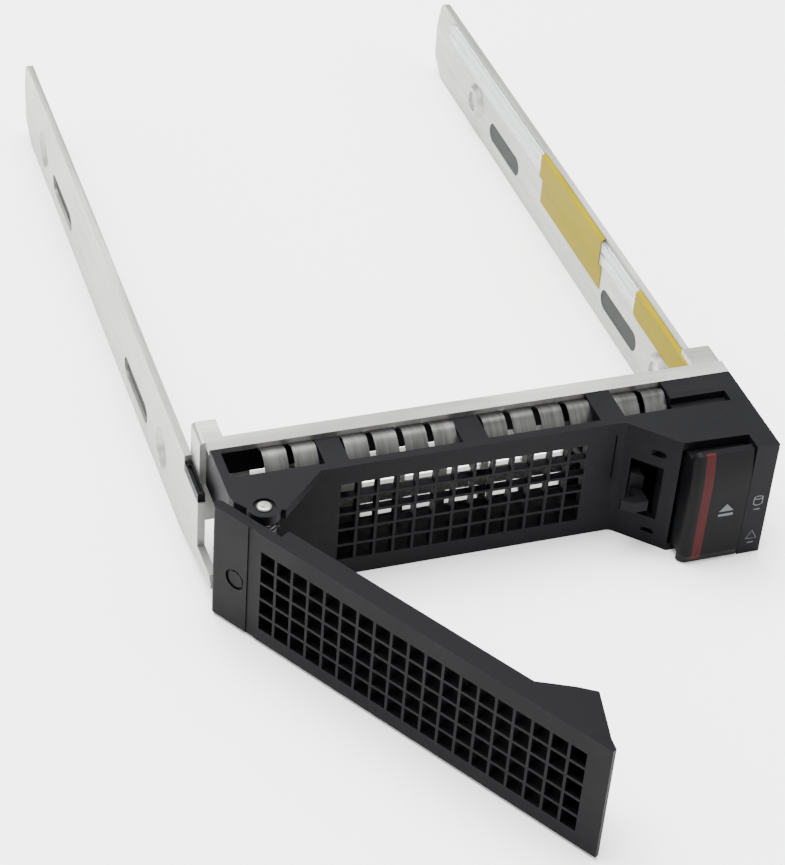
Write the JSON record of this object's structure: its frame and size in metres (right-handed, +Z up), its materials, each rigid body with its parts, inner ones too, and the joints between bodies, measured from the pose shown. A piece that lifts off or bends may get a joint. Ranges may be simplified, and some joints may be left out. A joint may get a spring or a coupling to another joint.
{
  "type": "hard drive caddy",
  "caption": "Empty hot-swap tray for a small hard drive: steel side rails, a shield with spring fingers, a vented bezel, a swing-out vented lever and an eject button.",
  "frame": {"origin": "mid-width, on the bottom face of the bezel, at the line where the bezel meets the steel shield", "axes": "+X to the right seen from the front, +Y back along the rails, +Z up"},
  "size_m": [0.0735, 0.1754, 0.0183],
  "materials": {
    "rail_steel": "galvanised satin",
    "shield_steel": "galvanised satin",
    "spring_steel": "brushed along the fingers",
    "black_plastic": "fine moulded texture",
    "lever_plastic": "fine moulded texture",
    "button_plastic": "satin",
    "red_plastic": "satin",
    "icon_print": "printed",
    "pin_steel": "turned",
    "spring_wire": "drawn wire",
    "clear_acrylic": "clear polished",
    "pad_rubber": "matte moulded",
    "yellow_tape": "translucent film"
  },
  "bodies": {
    "tray": {"left_rail": "rail_steel", "right_rail": "rail_steel", "shield_plate": "shield_steel", "shield_fingers": "spring_steel", "side_clip": "black_plastic", "bezel_body": "black_plastic", "latch_retainer": "black_plastic", "pivot_pin": "pin_steel", "lever_spring": "spring_wire", "button_spring": "spring_wire", "latch_spring": "spring_wire", "light_pipe_upper": "clear_acrylic", "light_pipe_lower": "clear_acrylic", "tape_rear": "yellow_tape", "tape_front": "yellow_tape", "left_slot_pads": "pad_rubber", "right_slot_pads": "pad_rubber"},
    "lever": {"lever_handle": "lever_plastic"},
    "button": {"release_button": "button_plastic", "button_stripe": "red_plastic", "button_icon": "icon_print"},
    "latch": {"latch_slider": "black_plastic"}
  },
  "joints": [
    {"name": "lever_hinge", "type": "hinge", "parent": "tray", "child": "lever", "pos_m": [-0.0311, -0.0124, 0], "axis": [0, 0, 1], "range_deg": [0, 58], "stiffness_Nm_per_rad": 0.004, "springref_deg": -34.38},
    {"name": "button_press", "type": "slide", "parent": "tray", "child": "button", "axis": [0, 1, 0], "range_m": [0, 0.0015], "stiffness_N_per_m": 600, "springref_m": -0.001, "deforming": ["button_spring"]},
    {"name": "latch_slide", "type": "slide", "parent": "tray", "child": "latch", "axis": [1, 0, 0], "range_m": [0, 0.0015], "deforming": ["latch_spring"]}
  ],
  "couplings": [
    {"joint": "latch_slide", "follows": "button_press", "ratio": 1}
  ]
}
